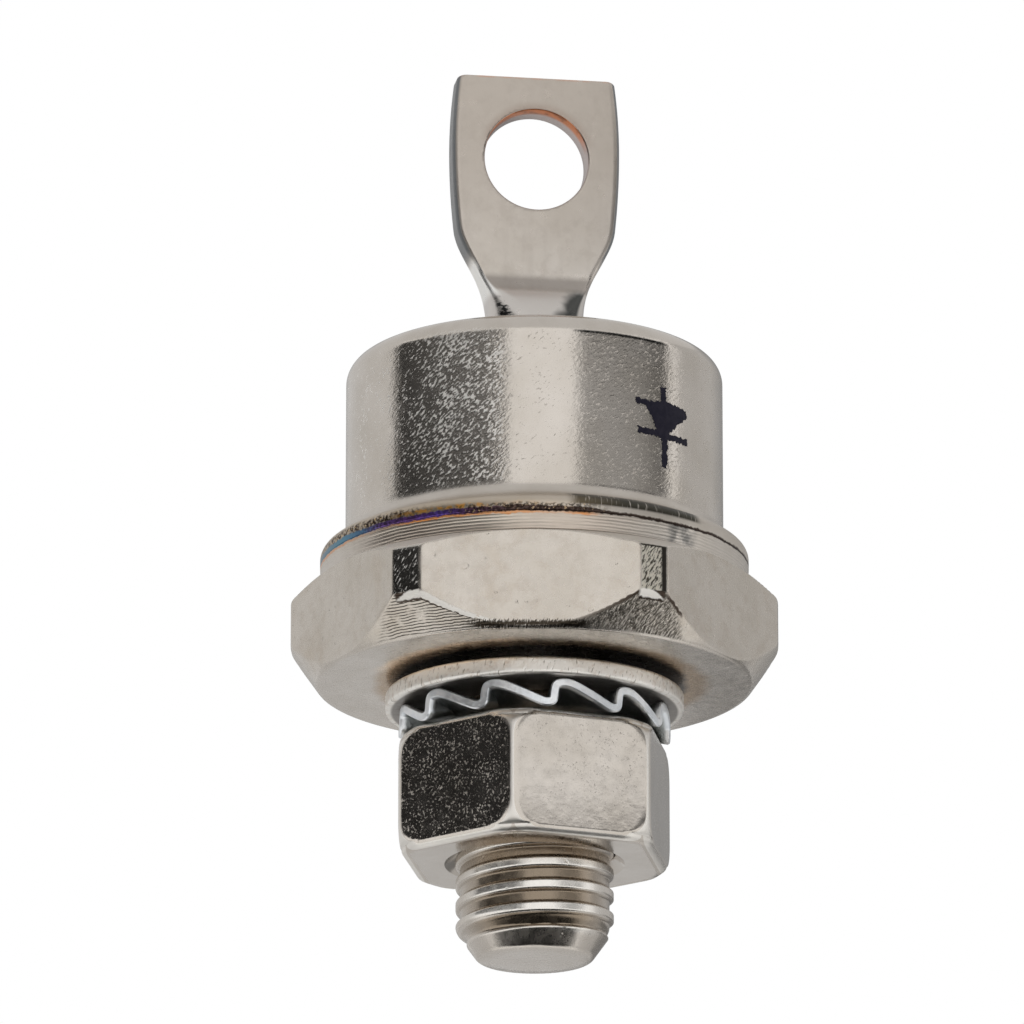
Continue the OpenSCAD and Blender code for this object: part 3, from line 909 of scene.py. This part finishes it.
def heat_tint(surface, angle, z):
    """Colours along the weld: blue and violet to the left, burnt brown in front, a dark seam to the right."""
    point, paint = surface.point, surface.paint
    ragged = plus(sway(noise(point, 1.3, 3), 0.2), sway(noise(point, 7.0, 2), 0.12))
    above = plus(minus(z, weld_z), ragged)

    def between(low, high, soft, *shares):
        return times(band(above, low, high, soft), *shares)

    speckle = step(noise(point, 8.0, 2), 0.4, 0.56)
    glint = step(noise(point, 9.0, 2), 0.6, 0.68)
    patch = step(noise(point, 3.2, 3), 0.42, 0.56)
    haze = ramp(
        angle, (-150, 0.1), (-95, 0.4), (-75, 0.8), (-25, 0.9), (5, 0.6), (25, 0.08), (140, 0.1), (172, 0.5),
    )
    burnt = ramp(angle, (-100, 0.0), (-80, 0.7), (-66, 1.0), (-38, 1.0), (-30, 0.3), (-20, 0.0))
    gold = ramp(angle, (-42, 0.0), (-33, 1.0), (-18, 1.0), (-8, 0.15), (12, 0.0))
    fringe = ramp(
        angle, (-100, 0.0), (-86, 0.7), (-60, 0.5), (-46, 0.1), (-34, 0.9), (-2, 0.7), (6, 0.2), (13, 0.9),
        (18, 0.0),
    )
    core_top = ramp(
        angle, (-150, 0.06), (-95, 0.22), (-40, 0.18), (-20, 0.2), (0, 0.2), (12, 0.17), (22, 0.09),
        (150, 0.07),
    )
    core_colour = ramp(
        angle, (-150, (0.05, 0.035, 0.025)), (-88, (0.2, 0.25, 0.3)), (-64, (0.1, 0.26, 0.36)),
        (-52, (0.08, 0.2, 0.36)), (-45, (0.2, 0.1, 0.38)), (-34, (0.2, 0.08, 0.38)), (-26, (0.15, 0.08, 0.5)),
        (-17, (0.12, 0.05, 0.1)), (-6, (0.07, 0.04, 0.035)), (24, (0.035, 0.02, 0.014)),
    )
    soot = ramp(angle, (-60, 0.0), (-46, 0.75), (-34, 0.6), (-26, 0.35), (-18, 0.0))
    dirt = ramp(angle, (-30, 0.0), (-16, 0.8), (12, 0.8), (22, 0.0))
    core = times(step(above, -0.05, -0.02), step(minus(above, core_top), 0.03, -0.03))
    paint(between(0.0, 0.7, 0.35, haze), (0.45, 0.335, 0.195), 0.62)
    paint(between(0.16, 0.5, 0.1, burnt, speckle), (0.05, 0.03, 0.02))
    paint(between(0.16, 0.5, 0.1, burnt, glint), (0.75, 0.5, 0.2))
    paint(between(0.2, 0.36, 0.05, gold, patch), (0.95, 0.48, 0.12))
    paint(between(-0.13, -0.02, 0.03, fringe), (0.72, 0.27, 0.06))
    paint(core, core_colour, 0.95)
    paint(times(core, soot, speckle), (0.05, 0.03, 0.045))
    paint(between(-0.05, 0.3, 0.05, dirt, speckle), (0.02, 0.013, 0.01))
    paint(between(0.0, 0.3, 0.05, dirt, glint), (0.5, 0.36, 0.22))


def cap_material():
    """Pressed steel, plated and finely crinkled, with heat tint at its foot."""
    cap = plated("nickel_cap", 0.13, 0.2)
    point = cap.point
    x, y, z = split(point)
    angle = around(x, y)
    cap.roughen(step(z, weld_z + 1.7, weld_z + 1.0), 0.4)
    on_shoulder = times(band(z, weld_z + 0.3, weld_z + 0.9, 0.06), band(angle, 10, 49, 2))
    scratch = hatch(point, CAP_R, 82, 0.9, 0.09)
    # Dark scratches on the shoulder to the right: scuffs, and partly a painted dark reflection
    cap.paint(times(on_shoulder, step(scratch, 0.76, 0.56)), (0.05, 0.05, 0.043))
    # Painted shade: a thin dark line where the wall meets the rim's rounding, to the right
    cap_rim_shade = times(band(z, RIM_SHADE_Z - 0.05, RIM_SHADE_Z + 0.05, 0.03), band(angle, 13, 43, 3))
    cap.paint(cap_rim_shade, (0.06, 0.06, 0.058), 0.9)
    heat_tint(cap, angle, z)

    # Fine specks on the wall: many to the left, few where the wall is rubbed in front, some to the right
    wall = band(z, weld_z + 1.5, cap_top - 0.8, 0.3)
    amount = ramp(
        angle, (-60, 0.3), (-44, 0.35), (-30, 1.0), (-11, 1.0), (-7, 0.25), (10, 0.25), (16, 0.5),
    )
    ticks = hatch(point, CAP_R, 38, 0.2, 0.1)
    uneven = remap(noise(point, 1.1, 3), 0.3, 0.7, 0.07, -0.07)
    sparse = remap(amount, 0, 1, 0.14, 0.0)
    specks = times(step(minus(ticks, plus(uneven, sparse)), 0.5, 0.62), wall)
    cap.roughen(specks, 0.6)
    cap.paint(times(specks, step(angle, -6, -12)), (0.95, 0.92, 0.88))
    cap.emboss(noise(point, 3.0, 3), 0.005)
    cap.emboss(ticks, 0.03, times(wall, amount, 0.6))
    return cap.finish()


def ring_material():
    """The steel ring under the flange: fine turned lines and heat tint."""
    ring = plated("nickel_ring", 0.28, 0.38)
    point, paint = ring.point, ring.paint
    x, y, z = split(point)
    angle = around(x, y)
    paint(band(angle, -50, 26, 12), (0.5, 0.38, 0.28), 0.4)
    lines = turned_lines(point, 0.8, 0.1, 0.125)
    plain = step(noise(stretch(point, (0.4, 0.4, 1.5)), 1.0, 2), 0.35, 0.6)
    clear = times(band(angle, -46, 4, 10), plain, 0.65)
    paint(times(clear, step(z, hex_top + 0.2, hex_top + 0.5)), (0.8, 0.73, 0.63))
    paint(times(clear, step(lines, -0.2, -0.8)), (0.2, 0.18, 0.15))
    smudge = times(band(angle, 38, 47, 2.5), step(noise(point, 2.0, 3), 0.3, 0.6))
    paint(smudge, (0.12, 0.12, 0.12), 0.8)
    # Painted shadow: a thin dark line at the ring's foot, where it meets the hexagon
    paint(step(z, hex_top + 0.09, hex_top + 0.04), (0.1, 0.085, 0.07))
    heat_tint(ring, angle, z)
    ring.emboss(noise(stretch(point, (0.15, 0.15, 9.0)), 1.0, 2), 0.02)
    ring.emboss(lines, 0.004)
    return ring.finish()


def nut_material():
    """Bright plating with small rough grains over the nut's flats, and dull edges painted pale as a
    highlight.
    """
    nut = plated("nickel_nut", 0.1, 0.18)
    point = nut.point
    x, y = split(point)[:2]
    depth = hexagon_depth(x, y, NUT_FLATS, NUT_TURN)
    face = step(depth, -0.03, -0.012)
    patchy = remap(noise(point, 1.4, 3), 0.3, 0.7, 0.04, -0.04)
    sparse = times(step(around(x, y), -12, -6), 0.045)
    grain = noise(point, 10.0, 3, 0.65)
    grains = times(face, step(minus(grain, plus(patchy, sparse)), 0.56, 0.66))
    nut.roughen(grains, 0.5)
    nut.roughen(band(depth, -0.44, -0.035, 0.02), 0.38)
    # Painted highlight: the rounded edges and chamfers pale
    nut.paint(band(depth, -0.3, -0.035, 0.01), (0.9, 0.87, 0.82), 0.7)
    nut.emboss(noise(point, 2.5, 3), 0.005)
    nut.emboss(grain, 0.025, grains)
    return nut.finish()


def washer_material():
    """Dull plating on the stamped flat washer, with drag marks across its rim and a shaded underside."""
    washer = plated("nickel_washer", 0.36, 0.5)
    point, paint = washer.point, washer.paint
    x, y, z = split(point)
    bottom = washer_low[2]
    drag = hatch(point, washer_high[0], 75, 0.4, 0.12)
    paint(0.85, (0.95, 0.92, 0.87))
    paint(step(noise(point, 3.5, 4, 0.65), 0.5, 0.68), (0.58, 0.47, 0.38), 0.42)
    paint(step(drag, 0.42, 0.3), (0.3, 0.26, 0.22), 0.75)
    underside = times(step(z, bottom + 0.08, bottom + 0.03), step(distance(x, y), 5.75, 5.6))
    paint(underside, (0.3, 0.28, 0.26))
    washer.emboss(noise(point, 3.0, 4), 0.03)
    washer.emboss(drag, 0.02)
    return washer.finish()


def zinc_material():
    """Bluish zinc on the lock washer, darker inwards from its rim as painted shade."""
    zinc = Surface("zinc_lock")
    point = zinc.point
    x, y = split(point)[:2]
    rim = lock_high[0]
    zinc.inputs["Metallic"].default_value = 1.0
    cloud = step(noise(point, 1.4, 4), 0.3, 0.7)
    zinc.colour = mix(cloud, (0.92, 0.93, 0.94), (0.76, 0.79, 0.82))
    # Painted shade: everything inwards of the outer rim darker
    zinc.paint(step(distance(x, y), rim - 0.1, rim - 0.3), (0.34, 0.36, 0.36))
    zinc.rough = remap(noise(point, 4.0), 0.3, 0.7, 0.28, 0.45)
    zinc.emboss(noise(point, 7.0, 3), 0.02)
    return zinc.finish()


def blade_material():
    """Satin plating with dull sheared sides; copper shows in the hole's rim and along the end."""
    blade = plated("nickel_blade", 0.27, 0.33)
    point, paint = blade.point, blade.paint
    z = split(point)[2]
    turn = math.radians(BLADE_TURN)
    widthways = (math.cos(turn), math.sin(turn), 0)
    backwards = (-math.sin(turn), math.cos(turn), 0)
    across = dot(point, widthways)
    inwards = dot(point, backwards)
    facing = dot(blade.texture.outputs["Normal"], widthways)
    from_hole = distance(across, minus(z, HOLE_Z))
    # Painted shade: the blade darker towards its top
    paint(remap(z, CREASE_Z + 0.2, CREASE_Z + 5.2, 0.15, 0.85), (0.48, 0.425, 0.37))
    streak = step(noise(stretch(point, (1.6, 1.6, 0.12)), 1.0, 3), 0.45, 0.7)
    paint(streak, (0.48, 0.43, 0.38), 0.3)
    paint(step(noise(point, 1.5, 6, 0.7), 0.45, 0.66), (0.42, 0.37, 0.32), 0.3)

    # The slope below the crease is painted bright as a highlight, and the crease painted dark as shade
    paint(step(z, CREASE_Z - 0.6, CREASE_Z - 0.8), (0.72, 0.68, 0.64), 0.9)
    paint(band(z, CREASE_Z - 0.65, CREASE_Z - 0.05, 0.12), (0.36, 0.32, 0.29), 0.7)

    # The sides: dull above, a painted highlight on the flank to the left below, with dark marks at its foot
    side = step(calculate("ABSOLUTE", facing), 0.35, 0.7)
    outside = step(from_hole, HOLE_R + 0.15, HOLE_R + 0.3)
    sheared = times(side, outside, step(z, CREASE_Z + 0.4, CREASE_Z + 1.1))
    paint(sheared, (0.17, 0.175, 0.18))
    feed(blade.inputs["Metallic"], remap(sheared, 0, 1, 1.0, 0.0))
    flank_highlight = times(step(facing, -0.2, -0.5), band(z, CREASE_Z - 0.9, CREASE_Z + 0.6, 0.2))
    # Painted highlight: the flank nearly white
    paint(flank_highlight, (0.97, 0.95, 0.91))
    marks = step(noise(stretch(point, (1, 1, 2.5)), 3.0, 3), 0.46, 0.54)
    at_foot = times(band(facing, -0.8, -0.5, 0.06), band(z, NECK_Z + 0.1, NECK_Z + 1.5, 0.2))
    paint(times(marks, at_foot), (0.05, 0.05, 0.05))
    # Painted dark reflection on the right of the neck, leaning up across it
    lean = minus(across, times(minus(z, NECK_REFLECTION_Z), 0.6))
    lean = plus(lean, remap(noise(point, 1.3, 2), 0.3, 0.7, -0.15, 0.15))
    neck_dark_reflection = times(step(lean, 0.35, 0.95), step(facing, 0.8, 0.68), step(z, NECK_REFLECTION_Z + 1.4, NECK_REFLECTION_Z + 1.0))
    paint(times(neck_dark_reflection, step(inwards, 0.0, -0.2)), (0.09, 0.09, 0.085))

    # The hole: copper near the front of its wall, dull behind, and brown painted shade round its upper rim
    upper = step(z, HOLE_Z + 0.3, HOLE_Z + 1.3)
    hole_rim_shade = times(step(from_hole, HOLE_R + 0.45, HOLE_R), upper)
    # Painted shade: brown round the hole's upper rim
    paint(hole_rim_shade, (0.36, 0.28, 0.23), 0.6)
    hole = step(from_hole, HOLE_R + 0.05, HOLE_R + 0.01)
    paint(hole, (0.5, 0.42, 0.39))
    copper = times(hole, upper, step(inwards, 0.05, -0.25))
    paint(copper, COPPER)
    burnt = step(noise(point, 1.6, 3), 0.42, 0.6)
    paint(times(copper, burnt), (0.22, 0.09, 0.045), 0.7)
    patchy = step(noise(point, 1.1, 3), 0.35, 0.55)
    paint(times(step(z, blade_end - 0.1, blade_end - 0.02), patchy), COPPER, 0.35)
    blade.emboss(noise(stretch(point, (1, 1, 0.3)), 4.0, 4), 0.003)
    return blade.finish()


def plain_material(name, colour, other, metallic, rough, grain):
    """A two-tone surface for the ink, the glass and the pieces inside the case."""
    plain = Surface(name)
    plain.inputs["Metallic"].default_value = metallic
    plain.colour = mix(step(noise(plain.point, grain), 0.35, 0.7), colour, other)
    plain.rough = rough
    plain.emboss(noise(plain.point, grain * 4), 0.005)
    return plain.finish()


# Studio


def studio_world():
    """Plain white all round: the light, the background and what the metal shows."""
    world = bpy.data.worlds.new("studio")
    bpy.context.scene.world = world
    world.use_nodes = True
    background = world.node_tree.nodes["Background"]
    background.inputs["Color"].default_value = (1, 1, 1, 1)
    background.inputs["Strength"].default_value = 1.0


# Cards that the metal reflects: turn from and to, distance and height of the lower and upper edge,
# and tone at each end. Turns are in degrees from the front, positive to the right.
CARDS = {
    "left": (-90, -17, (60, 20.5), (60, 44), 0.02, 0.24),
    "left_low": (-95, -17, (60, 0), (60, 20.5), 0.02, 0.03),
    "right": (25, 64, (60, 15.2), (60, 32), 0.42, 0.34),
    "right_end": (64, 84, (60, 15.2), (60, 32), 0.34, 0.1),
    "right_low": (34, 72, (60, -4), (60, 7.5), 0.3, 0.12),
    "right_top": (25, 86, (60, 32), (60, 43), 0.02, 0.02),
    "back_right": (96, 140, (200, -20), (200, 240), 0.54, 0.58),
    "back": (140, 166, (200, -20), (200, 240), 0.52, 0.28),
    "back_middle": (166, 200, (200, -20), (200, 240), 0.28, 0.55),
    "back_left": (200, 264, (200, -20), (200, 240), 0.64, 0.72),
    "low_back": (100, 260, (200, -200), (200, -24), 0.56, 0.6),
    "low_right": (115, 172, (46, -24), (46, -7), 0.22, 0.22),
    "low_front": (-38, 82, (26, -148), (118, -92), 0.04, 0.04),
    "stud": (-84, 84, (2, -20), (13, -20), 0.02, 0.02),
    "over": (-180, 180, (160, 118), (1, 210), 0.68, 0.68),
}


def make_card(name, turn_from, turn_to, lower, upper, tone_from, tone_to):
    """A curved card, out of the camera's sight, that only shades reflections."""
    turns = np.linspace(turn_from, turn_to, 33)
    tones = np.linspace(tone_from, tone_to, len(turns))
    vertices, faces, colours = [], [], []
    for turn, tone in zip(np.radians(turns), tones):
        for away, height in (lower, upper):
            vertices.append(Vector((away * math.sin(turn), -away * math.cos(turn), height)) * MM)
            colours += [tone, tone, tone, 1]
    for k in range(len(turns) - 1):
        faces.append([2 * k, 2 * k + 2, 2 * k + 3, 2 * k + 1])
    mesh = bpy.data.meshes.new(name)
    mesh.from_pydata(vertices, [], faces)
    mesh.color_attributes.new("tone", "FLOAT_COLOR", "POINT").data.foreach_set("color", colours)
    material = new_material(name)
    tree = material.node_tree
    tree.nodes.clear()
    tone = add("ShaderNodeAttribute", {}, tree, attribute_name="tone")
    light = add("ShaderNodeEmission", {"Color": tone.outputs["Color"]})
    add("ShaderNodeOutputMaterial", {"Surface": light.outputs[0]})
    mesh.materials.append(material)
    card = add_object(name, mesh)
    card.visible_camera = False


# The photograph's view: from below, nearly along the horizon
CAMERA_BELOW = 16.5
CAMERA_DISTANCE = 400
PIXELS_PER_MM = 25.3
FRAME_PIXELS = 1024
AXIS_PIXEL_X = 534.5
SEAT_PIXEL_Y = 687


def photo_camera():
    below = math.radians(CAMERA_BELOW)
    forward = Vector((0, math.cos(below), math.sin(below)))
    up = Vector((0, -math.sin(below), math.cos(below)))
    middle = FRAME_PIXELS / 2
    aim = Vector((middle - AXIS_PIXEL_X, 0, 0)) / PIXELS_PER_MM + up * (SEAT_PIXEL_Y - middle) / PIXELS_PER_MM
    data = bpy.data.cameras.new("photo_view")
    data.sensor_width = 36
    half_view = FRAME_PIXELS / PIXELS_PER_MM / 2
    data.lens = data.sensor_width / 2 * CAMERA_DISTANCE / half_view
    data.clip_start, data.clip_end = 0.01, 10
    camera = add_object("photo_view", data)
    camera.location = (aim - forward * CAMERA_DISTANCE) * MM
    camera.rotation_mode = "QUATERNION"
    camera.rotation_quaternion = forward.to_track_quat("-Z", "Y")
    bpy.context.scene.camera = camera


FLOOR_SIZE = 3000
FLOOR_Z = -500


def make_floor():
    mesh = bpy.data.meshes.new("floor")
    corners = [(-1, -1), (1, -1), (1, 1), (-1, 1)]
    mesh.from_pydata(
        [(x * FLOOR_SIZE * MM, y * FLOOR_SIZE * MM, FLOOR_Z * MM) for x, y in corners], [], [[0, 1, 2, 3]],
    )
    material = new_material("floor_paper")
    shader = material.node_tree.nodes["Principled BSDF"]
    shader.inputs["Base Color"].default_value = (0.93, 0.93, 0.92, 1)
    shader.inputs["Roughness"].default_value = 0.9
    mesh.materials.append(material)
    add_object("floor", mesh)


# The scene

photo_camera()
studio_world()
make_floor()
for place, sizes in CARDS.items():
    make_card("card_" + place, *sizes)

glass = plain_material("seal_glass", (0.02, 0.05, 0.045), (0.03, 0.07, 0.06), 0.0, 0.08, 1.0)
PIECES = [
    ("stud_base", [base_skin(), stud_skin()], "diode", "nickel_on_copper", base_material()),
    ("weld_ring", [ring_skin()], "diode", "nickel_on_steel", ring_material()),
    ("cap", [cap_skin()], "diode", "nickel_on_steel", cap_material()),
    ("glass_seal", [seal_skin()], "diode", "seal_glass", glass),
    ("flat_washer", [washer_skin()], "washers", "nickel_on_steel", washer_material()),
    ("lock_washer", [lock_skin()], "washers", "zinc_on_steel", zinc_material()),
    ("hex_nut", [nut_skin()], "nut", "nickel_on_steel", nut_material()),
]
for node, skins, body, slot, material in PIECES:
    dress(make_object(node + "_dressed", skins), body, material, [node])
dress(make_terminal(), "diode", blade_material(), ["terminal"])

ink = plain_material("ink", (0.012, 0.011, 0.022), (0.02, 0.018, 0.03), 0.0, 0.5, 3.0)
ink.node_tree.nodes["Principled BSDF"].inputs["Specular IOR Level"].default_value = 0.12
mark = make_mark()
mark.data.materials.append(ink)
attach(mark, "diode")

SOLDER = ((0.52, 0.53, 0.55), (0.42, 0.43, 0.45), 1.0, 0.4, 3.0)
INSIDE = {
    "inner_lead": ("bare_copper", (0.72, 0.35, 0.2), (0.6, 0.27, 0.15), 1.0, 0.3, 1.5),
    "contact_disc": ("contact_copper", (0.7, 0.34, 0.2), (0.58, 0.26, 0.15), 1.0, 0.35, 2.0),
    "upper_solder": ("solder_top", *SOLDER),
    "silicon_chip": ("silicon", (0.16, 0.17, 0.2), (0.2, 0.21, 0.25), 0.6, 0.12, 1.0),
    "chip_solder": ("solder_chip", *SOLDER),
    "molybdenum_disc": ("molybdenum", (0.46, 0.47, 0.5), (0.38, 0.39, 0.42), 1.0, 0.35, 2.0),
    "base_solder": ("solder_base", *SOLDER),
    "junction_coating": ("silicone", (0.8, 0.8, 0.76), (0.72, 0.72, 0.68), 0.0, 0.5, 2.0),
}
for node, looks in INSIDE.items():
    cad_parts[node].material_slots[0].material = plain_material(*looks)

bpy.context.scene.view_settings.view_transform = "Standard"
